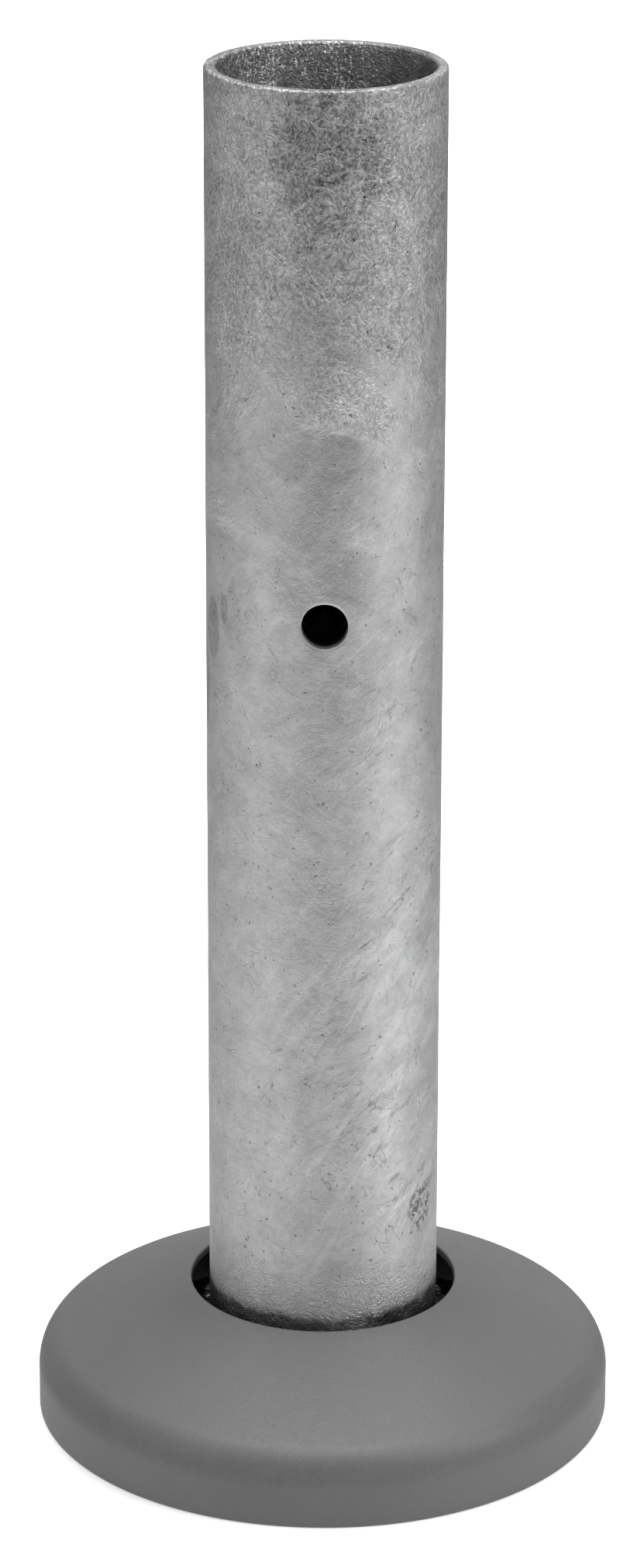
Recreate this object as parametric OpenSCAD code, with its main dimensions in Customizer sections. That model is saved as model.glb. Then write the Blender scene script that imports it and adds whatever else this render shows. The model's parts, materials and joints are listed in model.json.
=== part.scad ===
// Lift-out street bollard. A galvanised tube stands over a spigot on a round ground plate,
// a triangular-key lock bolts it to the spigot, and a domed cover hides the ground plate.
// Origin: centre of the underside, on the ground. +Z is up. The key hole faces -Y.

/* [Post] */
// Outer diameter of the post tube
post_d = 114.3; // [114:0.1:115]
// Wall of the post tube
post_wall = 5.6; // [5.4:0.1:5.8]
// Height of the post's open top above the ground
post_top = 686.5; // [640:0.5:760]
// Rounding of the tube's sawn edges
rim_round = 1.2; // [0.4:0.1:2]

/* [Key lock] */
// Height of the key hole above the ground
lock_z = 430.4; // [420:0.1:440]
// Diameter of the key hole through the post wall
key_hole_d = 22; // [20:0.5:24]
// Distance of the crank pin from the spindle's axis
crank_r = 10; // [9.5:0.1:10.2]
// Diameter of the crank pin
crank_pin_d = 5; // [4.5:0.1:5]
// Diameter of the bolt's nose
bolt_d = 13; // [12:0.1:13]

/* [Ground plate and spigot] */
// Diameter of the ground plate
plate_d = 249; // [246:0.5:249.5]
// Thickness of the ground plate
plate_t = 12; // [10:0.5:12]
// Circle of the ground anchor holes
anchor_pcd = 220; // [218:0.5:222]
// Diameter of the ground anchor holes
anchor_hole_d = 12; // [10:0.5:13]
// Circle of the flange studs
stud_pcd = 170; // [168:0.5:172]
// Diameter of the flange studs
stud_d = 12; // [10:1:12]
// Outer diameter of the spigot tube
spigot_d = 88.9; // [88:0.1:89]
// Wall of the spigot tube
spigot_wall = 5; // [4:0.1:6]
// Height of the spigot tube's upper end above the ground
spigot_top = 230; // [200:1:250]

/* [Cover] */
// Outer diameter of the cover
cover_d = 287.5; // [286:0.5:289]
// Height of the cover at its hole
cover_h = 68; // [66:0.1:70]
// Diameter of the cover's hole
cover_hole_d = 132.4; // [130:0.2:135]
// Height of the cover's upright side
side_h = 20.6; // [19:0.1:22]
// Radius of the cover's shoulder
shoulder_r = 20.4; // [19:0.1:21]
// Wall of the cover
cover_wall = 4; // [3.5:0.1:4.2]

/* [Hidden] */
$fn = 96;

eps = 0.5; // how far a cutting tool runs past the face that it cuts
post_r = post_d / 2;
bore_r = post_r - post_wall;
spigot_r = spigot_d / 2;
plate_r = plate_d / 2;

// Stack on the ground plate
flange_t = 6;
flange_r = 97;
flange_z = plate_t;
seat_z = flange_z + flange_t;
weld_leg = 5;
drain_r = 26;
foot_ring_h = 3.5;
foot_ring_in_r = 50.2;
foot_ring_out_r = 60;
post_foot = seat_z + foot_ring_h;
washer_t = 2.5;
washer_r = 12;
nut_h = 10.8;
nut_flats = 19;
stud_proud = 3;

// Guide collars on the spigot
collar_gap = 0.35;
collar_h = 22;
lower_collar_z = 34;
upper_collar_z = 202;
collar_bevel = 2;

// Strike bar, with the window that the bolt enters
cap_t = 8;
cap_drain_r = 8;
cap_side_hole_x = 28;
cap_side_hole_r = 4;
strike_x = [24.5, 34.5];
strike_w = 23;
window_w = 15;
window_h = 16;
strike_over = 16;

// Key lock, on a spindle that lies along Y; the key turns a quarter from open to bolted
key_turn = 90;
bolt_y = -16.5;
case_half_w = 22;
case_wall_z = [405, 455];
case_y = [-38, -8];
case_front = 8;
pocket_half_w = 16.5;
pocket_z = [414, 450];
case_foot_y = 14;
case_foot_t = 5;
case_screw_y = 4;
case_screw_x = 12;
case_screw_r = 3;
case_screw_head_r = 5;
carrier_t = 6;
carrier_z = case_wall_z[0] - carrier_t;
carrier_slot_gap = 2;
carrier_drain = [20, 34];
carrier_drain_r = 6;
case_cover_t = 3;
cover_screw_x = 19.25;
cover_screw_z = [413.5, 452];
cover_screw_r = 1.5;
cover_screw_in = 8;
journal_r = 8;
bush_out_r = 10.5;
bush_flange_r = 10.8;
bush_flange_t = 1.5;
running_gap = 0.05;
disc_r = 15;
disc_t = 5;
disc_y = case_y[0] + case_front + 0.5;
key_head_y = -49;
key_head_r = 8;
circlip_t = 1.2;
circlip_r = 10.4;
groove_r = 6.8;
circlip_y = case_y[0] - bush_flange_t - circlip_t - 0.1;
guide_in_r = 11;
guide_out_r = 15;
bolt_thick = 14;
bolt_block_half_w = 9;
bolt_block_z = [420, 447];
bolt_tip_x = 22.5;
tail_r = 5;
tail_x = -37;
slide_gap = 0.1;
slot_gap = 0.5;
plunger_r = 4;

// Crank pin at rest: half the key's turn before the top of its circle
pin_x = -crank_r * sin(key_turn / 2);
pin_z = crank_r * cos(key_turn / 2);

function polar(r, a) = [r * cos(a), r * sin(a)];
function arc(centre, r, from, to, steps) =
    [for (i = [0:steps]) centre + polar(r, from + (to - from) * i / steps)];

module ring(r_out, r_in, h) {
    difference() {
        cylinder(r = r_out, h = h);
        translate([0, 0, -eps]) cylinder(r = r_in, h = h + 2 * eps);
    }
}

// Copies its children round the Z axis
module around(count, first) {
    for (i = [0:count - 1]) rotate([0, 0, first + i * 360 / count]) children();
}

// A cylinder along +Y from the given height, and one along +X
module bar_y(r, from, to, x = 0, z = lock_z) {
    translate([x, to, z]) rotate([90, 0, 0]) cylinder(r = r, h = to - from);
}
module bar_x(r, from, to, y = bolt_y, z = lock_z) {
    translate([from, y, z]) rotate([0, 90, 0]) cylinder(r = r, h = to - from);
}
module box(low, high) {
    translate(low) cube(high - low);
}

// Parts that stay on the ground

module ground_plate() {
    bevel = 1;
    color([0.62, 0.63, 0.64]) difference() {
        rotate_extrude() polygon([
            [drain_r, 0], [plate_r, 0], [plate_r, plate_t - bevel],
            [plate_r - bevel, plate_t], [drain_r, plate_t]
        ]);
        around(4, 0) translate([anchor_pcd / 2, 0, -eps]) cylinder(d = anchor_hole_d, h = plate_t + 2 * eps);
        around(4, 45) translate([stud_pcd / 2, 0, -eps]) cylinder(d = stud_d, h = plate_t + 2 * eps);
    }
}

module spigot_flange() {
    color([0.62, 0.63, 0.64]) translate([0, 0, flange_z]) difference() {
        ring(flange_r, spigot_r, flange_t);
        around(4, 45) translate([stud_pcd / 2, 0, -eps]) cylinder(d = stud_d + 1, h = flange_t + 2 * eps);
    }
}

module spigot_tube() {
    color([0.6, 0.61, 0.62]) translate([0, 0, flange_z]) ring(spigot_r, spigot_r - spigot_wall, spigot_top - flange_z);
}

module spigot_weld() {
    color([0.5, 0.51, 0.52]) rotate_extrude() polygon([
        [spigot_r, seat_z], [spigot_r + weld_leg, seat_z], [spigot_r, seat_z + weld_leg]
    ]);
}

module flange_studs() {
    tip = 1.5;
    length = seat_z + washer_t + nut_h + stud_proud;
    color([0.7, 0.71, 0.72]) around(4, 45) translate([stud_pcd / 2, 0, 0]) {
        cylinder(d = stud_d, h = length - tip);
        translate([0, 0, length - tip]) cylinder(d1 = stud_d, d2 = stud_d - 2 * tip, h = tip);
    }
}

module flange_washers() {
    color([0.72, 0.73, 0.74]) around(4, 45) translate([stud_pcd / 2, 0, seat_z])
        ring(washer_r, stud_d / 2 + 0.3, washer_t);
}

// Hexagon nut with its corners bevelled by a cone at each end
module hex_nut(flats, bore, h) {
    corner_r = flats / 2 / cos(30);
    bevel = corner_r - flats / 2;
    difference() {
        intersection() {
            cylinder(r = corner_r, h = h, $fn = 6);
            rotate_extrude() polygon([
                [0, 0], [corner_r - bevel, 0], [corner_r, bevel / 2],
                [corner_r, h - bevel / 2], [corner_r - bevel, h], [0, h]
            ]);
        }
        translate([0, 0, -eps]) cylinder(d = bore, h = h + 2 * eps);
    }
}

module flange_nuts() {
    // Turned so that one flat of each nut lies along X
    color([0.74, 0.75, 0.76]) around(4, 45) translate([stud_pcd / 2, 0, seat_z + washer_t])
        rotate([0, 0, 15]) hex_nut(nut_flats, stud_d, nut_h);
}

module foot_ring() {
    color([0.08, 0.08, 0.08]) translate([0, 0, seat_z]) ring(foot_ring_out_r, foot_ring_in_r, foot_ring_h);
}

// Plastic collar on the spigot that the post slides over, bevelled at both ends
module guide_collar(z) {
    outer = bore_r - collar_gap;
    color([0.12, 0.12, 0.12]) translate([0, 0, z]) rotate_extrude() polygon([
        [spigot_r, 0], [outer - collar_bevel, 0], [outer, collar_bevel],
        [outer, collar_h - collar_bevel], [outer - collar_bevel, collar_h], [spigot_r, collar_h]
    ]);
}

module lower_collar() {
    guide_collar(lower_collar_z);
}

module upper_collar() {
    guide_collar(upper_collar_z);
}

module spigot_cap() {
    color([0.58, 0.59, 0.6]) translate([0, 0, spigot_top]) difference() {
        ring(spigot_r, cap_drain_r, cap_t);
        around(2, 120) translate([cap_side_hole_x, 0, -eps]) cylinder(r = cap_side_hole_r, h = cap_t + 2 * eps);
    }
}

module strike_bar() {
    half_w = strike_w / 2;
    top = lock_z + strike_over;
    bevel = 4;
    color([0.66, 0.67, 0.68]) difference() {
        translate([strike_x[0], bolt_y, 0]) rotate([90, 0, 90]) linear_extrude(strike_x[1] - strike_x[0]) polygon([
            [-half_w, spigot_top + cap_t], [half_w, spigot_top + cap_t], [half_w, top - bevel],
            [half_w - bevel, top], [bevel - half_w, top], [-half_w, top - bevel]
        ]);
        box([strike_x[0] - eps, bolt_y - window_w / 2, lock_z - window_h / 2],
            [strike_x[1] + eps, bolt_y + window_w / 2, lock_z + window_h / 2]);
    }
}

// Parts that lift with the post

module post_tube() {
    color([0.64, 0.65, 0.66]) difference() {
        rotate_extrude() polygon(concat(
            arc([bore_r + rim_round, post_foot + rim_round], rim_round, 180, 270, 3),
            arc([post_r - rim_round, post_foot + rim_round], rim_round, -90, 0, 3),
            arc([post_r - rim_round, post_top - rim_round], rim_round, 0, 90, 3),
            arc([bore_r + rim_round, post_top - rim_round], rim_round, 90, 180, 3)
        ));
        bar_y(key_hole_d / 2, -post_r - eps, -bore_r / 2);
    }
}

module lock_carrier() {
    gap = carrier_slot_gap;
    color([0.55, 0.56, 0.57]) translate([0, 0, carrier_z]) difference() {
        cylinder(r = bore_r, h = carrier_t);
        box([strike_x[0] - gap, bolt_y - strike_w / 2 - gap, -eps],
            [strike_x[1] + gap, bolt_y + strike_w / 2 + gap, carrier_t + eps]);
        for (side = [-1, 1]) {
            translate([side * case_screw_x, case_screw_y, -eps])
                cylinder(r = case_screw_r, h = carrier_t + 2 * eps);
            translate([side * carrier_drain[0], carrier_drain[1], -eps])
                cylinder(r = carrier_drain_r, h = carrier_t + 2 * eps);
        }
    }
}

module lock_case() {
    color([0.5, 0.51, 0.53]) difference() {
        union() {
            box([-case_half_w, case_y[0], case_wall_z[0]], [case_half_w, case_y[1], case_wall_z[1]]);
            box([-case_half_w, case_y[1] - eps, case_wall_z[0]],
                [case_half_w, case_foot_y, case_wall_z[0] + case_foot_t]);
        }
        box([-pocket_half_w, case_y[0] + case_front, pocket_z[0]], [pocket_half_w, case_y[1] + eps, pocket_z[1]]);
        bar_y(bush_out_r, case_y[0] - eps, case_y[0] + case_front + eps);
        bar_x(bolt_d / 2 + slide_gap, pocket_half_w - eps, case_half_w + eps);
        bar_x(tail_r + slide_gap, -case_half_w - eps, -pocket_half_w + eps);
        for (side = [-1, 1]) {
            translate([side * case_screw_x, case_screw_y, case_wall_z[0] - eps])
                cylinder(r = case_screw_r + 0.3, h = case_foot_t + 2 * eps);
            for (z = cover_screw_z)
                bar_y(cover_screw_r, case_y[1] - cover_screw_in, case_y[1] + eps, side * cover_screw_x, z);
        }
        translate([0, disc_y + disc_t / 2, pocket_z[1] - eps])
            cylinder(r = plunger_r, h = case_wall_z[1] - pocket_z[1] + 2 * eps);
    }
}

module lock_case_cover() {
    color([0.6, 0.61, 0.62]) difference() {
        box([-case_half_w, case_y[1], case_wall_z[0] + case_foot_t + 0.5],
            [case_half_w, case_y[1] + case_cover_t, case_wall_z[1]]);
        for (side = [-1, 1], z = cover_screw_z)
            bar_y(cover_screw_r + 0.2, case_y[1] - eps, case_y[1] + case_cover_t + eps, side * cover_screw_x, z);
    }
}

// Two socket screws, from the case's foot down into the carrier
module case_screws() {
    head_h = 6;
    socket_r = 2.9;
    top = case_wall_z[0] + case_foot_t;
    color([0.3, 0.3, 0.31]) for (side = [-1, 1]) translate([side * case_screw_x, case_screw_y, 0]) difference() {
        union() {
            translate([0, 0, carrier_z]) cylinder(r = case_screw_r, h = top - carrier_z);
            translate([0, 0, top]) cylinder(r = case_screw_head_r, h = head_h);
        }
        translate([0, 0, top + head_h / 2]) cylinder(r = socket_r, h = head_h, $fn = 6);
    }
}

// Four small pan-head screws that hold the case's cover
module case_cover_screws() {
    head_r = 2.7;
    head_h = 2;
    recess_r = 1.2;
    outside = case_y[1] + case_cover_t;
    color([0.7, 0.7, 0.71]) for (side = [-1, 1], z = cover_screw_z) difference() {
        union() {
            bar_y(cover_screw_r, case_y[1] - cover_screw_in, outside, side * cover_screw_x, z);
            bar_y(head_r, outside, outside + head_h, side * cover_screw_x, z);
        }
        bar_y(recess_r, outside + head_h / 2, outside + head_h + eps, side * cover_screw_x, z);
    }
}

// Black sleeve that leads the key from the hole in the post to the lock
module key_guide() {
    color([0.03, 0.03, 0.03]) intersection() {
        difference() {
            bar_y(guide_out_r, -bore_r - eps, case_y[0]);
            bar_y(guide_in_r, -bore_r - 2 * eps, case_y[0] + eps);
        }
        cylinder(r = bore_r, h = post_top);
    }
}

module spindle_bush() {
    color([0.72, 0.55, 0.3]) difference() {
        union() {
            bar_y(bush_out_r, case_y[0], case_y[0] + case_front);
            bar_y(bush_flange_r, case_y[0] - bush_flange_t, case_y[0]);
        }
        bar_y(journal_r + running_gap, case_y[0] - bush_flange_t - eps, case_y[0] + case_front + eps);
    }
}

// Screwed-in spring plunger whose nose bears on the crank disc's rim
module detent_plunger() {
    nose_gap = 0.2;
    nose_r = 2;
    proud = 2;
    color([0.45, 0.45, 0.46]) translate([0, disc_y + disc_t / 2, 0]) {
        translate([0, 0, pocket_z[1]]) cylinder(r = plunger_r, h = case_wall_z[1] - pocket_z[1] + proud);
        translate([0, 0, lock_z + disc_r + nose_gap]) cylinder(r = nose_r, h = pocket_z[1] - lock_z - disc_r);
    }
}

// Key spindle, turning about Y

module lock_spindle() {
    flat_turn = 30;
    color([0.16, 0.16, 0.17]) difference() {
        union() {
            translate([0, circlip_y, lock_z]) rotate([90, flat_turn, 0])
                cylinder(r = key_head_r, h = circlip_y - key_head_y, $fn = 3);
            bar_y(groove_r, circlip_y - eps, circlip_y + circlip_t);
            bar_y(journal_r, circlip_y + circlip_t, disc_y);
            bar_y(disc_r, disc_y, disc_y + disc_t);
        }
        bar_y(crank_pin_d / 2, disc_y - eps, disc_y + disc_t + eps, pin_x, lock_z + pin_z);
    }
}

module crank_pin() {
    color([0.75, 0.76, 0.77]) bar_y(crank_pin_d / 2, disc_y, bolt_y + bolt_thick / 2, pin_x, lock_z + pin_z);
}

module spindle_circlip() {
    mouth = 4;
    color([0.25, 0.25, 0.26]) difference() {
        bar_y(circlip_r, circlip_y, circlip_y + circlip_t);
        bar_y(groove_r, circlip_y - eps, circlip_y + circlip_t + eps);
        box([-mouth / 2, circlip_y - eps, lock_z],
            [mouth / 2, circlip_y + circlip_t + eps, lock_z + circlip_r + eps]);
    }
}

// Bolt, sliding along X

module lock_bolt() {
    low = bolt_y - bolt_thick / 2;
    slot_half_w = crank_pin_d / 2 + slot_gap;
    nose_bevel = 1.5;
    color([0.7, 0.71, 0.72]) difference() {
        union() {
            box([pin_x - bolt_block_half_w, low, bolt_block_z[0]],
                [pin_x + bolt_block_half_w, low + bolt_thick, bolt_block_z[1]]);
            bar_x(bolt_d / 2, pin_x, bolt_tip_x - nose_bevel);
            translate([bolt_tip_x - nose_bevel, bolt_y, lock_z]) rotate([0, 90, 0])
                cylinder(r1 = bolt_d / 2, r2 = bolt_d / 2 - nose_bevel, h = nose_bevel);
            bar_x(tail_r, tail_x, pin_x);
        }
        box([pin_x - slot_half_w, low - eps, lock_z + pin_z - slot_half_w],
            [pin_x + slot_half_w, low + bolt_thick + eps, lock_z + crank_r + slot_half_w]);
    }
}

// Loose cover over the ground plate

module base_cover() {
    lip_h = 7;
    lip_t = 4;
    edge_round = 1.2;
    hole_r = cover_hole_d / 2;
    foot_r = cover_d / 2;
    rib_t = 4;
    rib_h = 12;
    rib_in_r = plate_r + 0.6;
    edge = [hole_r + edge_round, cover_h - edge_round];
    hub = [foot_r - shoulder_r, side_h];
    rise = edge - hub;
    // The straight flank touches the edge's arc and the shoulder's arc at this angle
    flank = atan2(rise[1], rise[0]) - acos((shoulder_r - edge_round) / norm(rise));
    color([0.43, 0.43, 0.43]) {
        rotate_extrude() polygon(concat(
            arc(edge, edge_round, 180, flank, 5),
            arc(hub, shoulder_r, flank, 0, 12),
            [[foot_r, 0], [foot_r - cover_wall, 0]],
            arc(hub, shoulder_r - cover_wall, 0, flank, 12),
            [[hole_r + lip_t, cover_h - lip_h], [hole_r, cover_h - lip_h]]
        ));
        // Ribs that centre the cover on the ground plate's rim
        around(8, 22.5) translate([rib_in_r, -rib_t / 2, 1])
            cube([foot_r - cover_wall / 2 - rib_in_r, rib_t, rib_h]);
    }
}

ground_plate();
spigot_flange();
spigot_tube();
spigot_weld();
flange_studs();
flange_washers();
flange_nuts();
foot_ring();
lower_collar();
upper_collar();
spigot_cap();
strike_bar();
post_tube();
lock_carrier();
lock_case();
lock_case_cover();
case_screws();
case_cover_screws();
key_guide();
spindle_bush();
detent_plunger();
lock_spindle();
crank_pin();
spindle_circlip();
lock_bolt();
base_cover();
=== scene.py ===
import bpy, json, math
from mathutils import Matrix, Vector


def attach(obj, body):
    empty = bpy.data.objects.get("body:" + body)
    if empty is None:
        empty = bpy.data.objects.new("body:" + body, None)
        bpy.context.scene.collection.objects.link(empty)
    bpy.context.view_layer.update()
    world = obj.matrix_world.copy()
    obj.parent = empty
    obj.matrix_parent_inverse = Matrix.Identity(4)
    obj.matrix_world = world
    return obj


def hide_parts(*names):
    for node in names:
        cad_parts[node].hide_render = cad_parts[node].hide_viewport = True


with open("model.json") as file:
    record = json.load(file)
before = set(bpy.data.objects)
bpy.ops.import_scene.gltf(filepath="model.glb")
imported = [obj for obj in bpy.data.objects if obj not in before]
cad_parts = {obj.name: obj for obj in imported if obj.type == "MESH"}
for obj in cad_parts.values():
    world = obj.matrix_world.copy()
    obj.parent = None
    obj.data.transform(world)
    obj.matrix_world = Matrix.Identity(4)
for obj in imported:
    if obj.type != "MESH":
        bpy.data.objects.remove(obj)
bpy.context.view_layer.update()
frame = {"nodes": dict(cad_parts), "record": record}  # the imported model, every node in its place
mm = 0.001
nodes = frame["nodes"]
print("frame loaded:", len(nodes), "nodes")


def clearSelection():
    if bpy.context.object and bpy.context.object.mode != "OBJECT":
        bpy.ops.object.mode_set(mode="OBJECT")
    bpy.ops.object.select_all(action="DESELECT")


def pick(piece):
    clearSelection()
    piece.select_set(True)
    bpy.context.view_layer.objects.active = piece


def named(name):
    piece = bpy.context.object
    piece.name = name
    piece.data.name = name
    return piece


def editing(piece, kind="VERT"):  # edit mode with nothing selected
    pick(piece)
    bpy.ops.object.mode_set(mode="EDIT")
    bpy.ops.mesh.select_mode(type=kind)
    bpy.ops.mesh.select_all(action="DESELECT")


def chooseVertices(piece, test):
    editing(piece, "VERT")
    bpy.ops.object.mode_set(mode="OBJECT")
    for vertex in piece.data.vertices:
        vertex.select = test(vertex.co)
    bpy.ops.object.mode_set(mode="EDIT")


def chooseEdges(piece, test):
    editing(piece, "EDGE")
    bpy.ops.object.mode_set(mode="OBJECT")
    places = [vertex.co.copy() for vertex in piece.data.vertices]
    for edge in piece.data.edges:
        edge.select = test(places[edge.vertices[0]], places[edge.vertices[1]])
    bpy.ops.object.mode_set(mode="EDIT")


def chooseFaces(piece, test):
    editing(piece, "FACE")
    bpy.ops.object.mode_set(mode="OBJECT")
    for face in piece.data.polygons:
        face.select = test(face.center)
    bpy.ops.object.mode_set(mode="EDIT")


def chooseOpenEdges(piece, test):  # the edges round holes, and loose loops
    editing(piece, "VERT")
    bpy.ops.mesh.select_non_manifold()
    bpy.ops.object.mode_set(mode="OBJECT")
    found = [vertex.index for vertex in piece.data.vertices if vertex.select and test(vertex.co)]
    editing(piece, "VERT")
    bpy.ops.object.mode_set(mode="OBJECT")
    for index in found:
        piece.data.vertices[index].select = True
    bpy.ops.object.mode_set(mode="EDIT")


def bakeModifiers(piece):
    pick(piece)
    for modifier in list(piece.modifiers):
        bpy.ops.object.modifier_apply(modifier=modifier.name)


def settle(piece):  # place, turn and scale go into the mesh
    pick(piece)
    bpy.ops.object.transform_apply(location=True, rotation=True, scale=True)


def join(pieces, name):
    clearSelection()
    for piece in pieces:
        piece.select_set(True)
    bpy.context.view_layer.objects.active = pieces[0]
    if len(pieces) > 1:
        bpy.ops.object.join()
    return named(name)


def smooth(piece, angle=35):
    pick(piece)
    bpy.ops.object.shade_smooth_by_angle(angle=math.radians(angle))


def recalcNormals(piece):
    editing(piece)
    bpy.ops.mesh.select_all(action="SELECT")
    bpy.ops.mesh.remove_doubles(threshold=1e-6)
    bpy.ops.mesh.normals_make_consistent(inside=False)
    bpy.ops.object.mode_set(mode="OBJECT")


def keepPiece(piece, body, slot, material, *replaced):
    piece.data.materials.clear()
    piece.data.materials.append(material)
    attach(piece, body)
    if replaced:
        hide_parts(*replaced)
    return piece


def waves(piece, name, size, depth):  # slow waviness of a dipped or moulded surface
    texture = bpy.data.textures.new(name, "CLOUDS")
    texture.noise_scale = size
    texture.noise_depth = 2
    push = piece.modifiers.new(name, "DISPLACE")
    push.texture = texture
    push.strength = depth
    push.texture_coords = "LOCAL"


class Graph:
    def __init__(self, name):
        self.material = bpy.data.materials.new(name)
        self.material.use_nodes = True
        self.tree = self.material.node_tree
        self.shader = self.tree.nodes["Principled BSDF"]
        self.coords = self.add("ShaderNodeTexCoord").outputs["Object"]

    def add(self, kind, **settings):
        node = self.tree.nodes.new(kind)
        for key, value in settings.items():
            setattr(node, key, value)
        return node

    def feed(self, socket, value):
        if isinstance(value, bpy.types.NodeSocket):
            self.tree.links.new(value, socket)
        else:
            socket.default_value = value

    def mapped(self, scale=(1, 1, 1), turn=(0, 0, 0), move=(0, 0, 0)):
        node = self.add("ShaderNodeMapping")
        self.feed(node.inputs["Vector"], self.coords)
        node.inputs["Scale"].default_value = scale
        node.inputs["Rotation"].default_value = [math.radians(a) for a in turn]
        node.inputs["Location"].default_value = move
        return node.outputs["Vector"]

    def noise(self, scale, detail=4, rough=0.55, distort=0.0, vector=None, kind="FBM", colour=False):
        node = self.add("ShaderNodeTexNoise", noise_type=kind)
        self.feed(node.inputs["Vector"], vector or self.coords)
        node.inputs["Scale"].default_value = scale
        node.inputs["Detail"].default_value = detail
        node.inputs["Roughness"].default_value = rough
        node.inputs["Distortion"].default_value = distort
        return node.outputs["Color" if colour else 0]

    def cells(self, scale, vector=None, feature="F1", output="Distance"):
        node = self.add("ShaderNodeTexVoronoi", feature=feature)
        self.feed(node.inputs["Vector"], vector or self.coords)
        node.inputs["Scale"].default_value = scale
        return node.outputs[output]

    def sum(self, a, b, operation="ADD", clamp=False):
        node = self.add("ShaderNodeMath", operation=operation, use_clamp=clamp)
        self.feed(node.inputs[0], a)
        self.feed(node.inputs[1], b)
        return node.outputs[0]

    def times(self, a, b):
        return self.sum(a, b, "MULTIPLY")

    def spread(self, value, low, high, toLow=0.0, toHigh=1.0, soft=True):
        node = self.add("ShaderNodeMapRange", interpolation_type="SMOOTHSTEP" if soft else "LINEAR")
        self.feed(node.inputs["Value"], value)
        for key, number in zip(("From Min", "From Max", "To Min", "To Max"), (low, high, toLow, toHigh)):
            node.inputs[key].default_value = number
        return node.outputs[0]

    def blendColours(self, factor, a, b, mode="MIX"):
        node = self.add("ShaderNodeMix", data_type="RGBA", blend_type=mode)
        self.feed(node.inputs[0], factor)
        self.feed(node.inputs[6], a)
        self.feed(node.inputs[7], b)
        return node.outputs[2]

    def axis(self, letter):
        node = self.add("ShaderNodeSeparateXYZ")
        self.feed(node.inputs[0], self.coords)
        return node.outputs[letter]

    def warped(self, amount, scale, vector=None):  # coordinates pushed about by noise
        push = self.noise(scale, 2, colour=True, vector=vector)
        centre = self.add("ShaderNodeVectorMath", operation="SUBTRACT")
        self.feed(centre.inputs[0], push)
        centre.inputs[1].default_value = (0.5, 0.5, 0.5)
        grow = self.add("ShaderNodeVectorMath", operation="SCALE")
        self.feed(grow.inputs[0], centre.outputs[0])
        grow.inputs["Scale"].default_value = amount
        total = self.add("ShaderNodeVectorMath", operation="ADD")
        self.feed(total.inputs[0], vector or self.coords)
        self.feed(total.inputs[1], grow.outputs[0])
        return total.outputs[0]

    def grey(self, value):  # a number as a neutral colour
        node = self.add("ShaderNodeCombineColor")
        for i in range(3):
            self.feed(node.inputs[i], value)
        return node.outputs[0]

    def bump(self, height, strength, distance, before=None):
        node = self.add("ShaderNodeBump")
        node.inputs["Strength"].default_value = strength
        node.inputs["Distance"].default_value = distance
        self.feed(node.inputs["Height"], height)
        if before is not None:
            self.feed(node.inputs["Normal"], before)
        return node.outputs[0]

    def finish(self, colour, rough, metallic=0.0, normal=None, **fixed):
        self.feed(self.shader.inputs["Base Color"], colour)
        self.feed(self.shader.inputs["Roughness"], rough)
        self.shader.inputs["Metallic"].default_value = metallic
        if normal is not None:
            self.feed(self.shader.inputs["Normal"], normal)
        for key, value in fixed.items():
            self.shader.inputs[key].default_value = value
        return self.material


galvanising = {  # zinc as base colours, feature sizes as counts per metre
    "light": 0.68, "dark": 0.07, "metallic": 0.93,
    "cloudScale": 24, "mottleScale": 85, "wrinkleScale": 620, "sparkleScale": 1500,
    "patchScale": 48, "veinScale": 60, "speckScale": 225, "hairScale": 46, "grainScale": 430,
    "streakTurn": 36, "streakAcross": 210, "streakAlong": 26,
    "bandTurn": 58, "bandAcross": 75, "bandAlong": 8,
    "base": -0.12, "tint": (0.985, 0.99, 1.0, 1),
    # places, from where a feature is absent to where it is full
    "bore": (0.0535, 0.0525), "crackledTopAndShade": (0.50, 0.61),
    "bandAcrossTube": (-0.045, 0.0), "bandUpTube": (0.36, 0.26),
    "streakAcrossTube": (-0.02, 0.025), "streakUpTube": (0.62, 0.5),
    "lipReach": (0.0122, 0.0114), "lipFront": (-0.052, -0.055), "holeHeight": 0.4304, "lipDrop": 0.006,
    # painted light low on the tube, and rougher relief just above the cover
    "paintedFootLight": (0.112, 0.078), "sandyFoot": (0.108, 0.086),
    # a band of painted shade round the foot, just above where the tube goes into the cover
    "footShadeLine": (0.0765, 0.0720), "footShadeWander": 0.009,
    "fleckAcrossBore": (0.034, 0.004),
}

toneWeights = {  # how much each feature adds to the zinc's lightness
    "clouds": 0.9, "mottles": 0.6, "strokes": 0.05, "darkStrokes": -0.45, "paleStrokes": 0.24,
    "paleBands": 0.17, "grain": 0.55, "crackledPatches": 0.8, "veins": 0.20, "crackledStrokes": 0.20,
    "crackledMottles": -0.30, "hairs": -0.34, "specks": -0.55, "pits": -0.75, "paintedLipHighlight": 0.5,
    # next line: a painted dark reflection over the top, painted light low down and painted shade round the
    # foot
    "crackledTopAndShade": -0.30, "paintedFootLight": 0.34, "paintedFootShade": -1.0,
}

darkSpotsAndReflection = [  # centre and half size of darker spots in metres, how dark, and where full; the last two, on the front top, are a painted dark reflection
    ((-0.0535, -0.0200, 0.4180), (0.0060, 0.0090, 0.0170), 0.32, 0.86),
    ((-0.0478, -0.0313, 0.4310), (0.0028, 0.0040, 0.0080), 0.30, 0.86),
    ((-0.0562, -0.0100, 0.3880), (0.0040, 0.0060, 0.0230), 0.28, 0.86),
    ((0.0020, -0.0560, 0.6600), (0.0340, 0.0400, 0.0480), 0.34, 0.45),
    ((0.0000, -0.0560, 0.5900), (0.0240, 0.0400, 0.0600), 0.14, 0.45),
]

pitCluster = ((0.0480, -0.0305, 0.1190), (0.0100, 0.0140, 0.0150))


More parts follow.
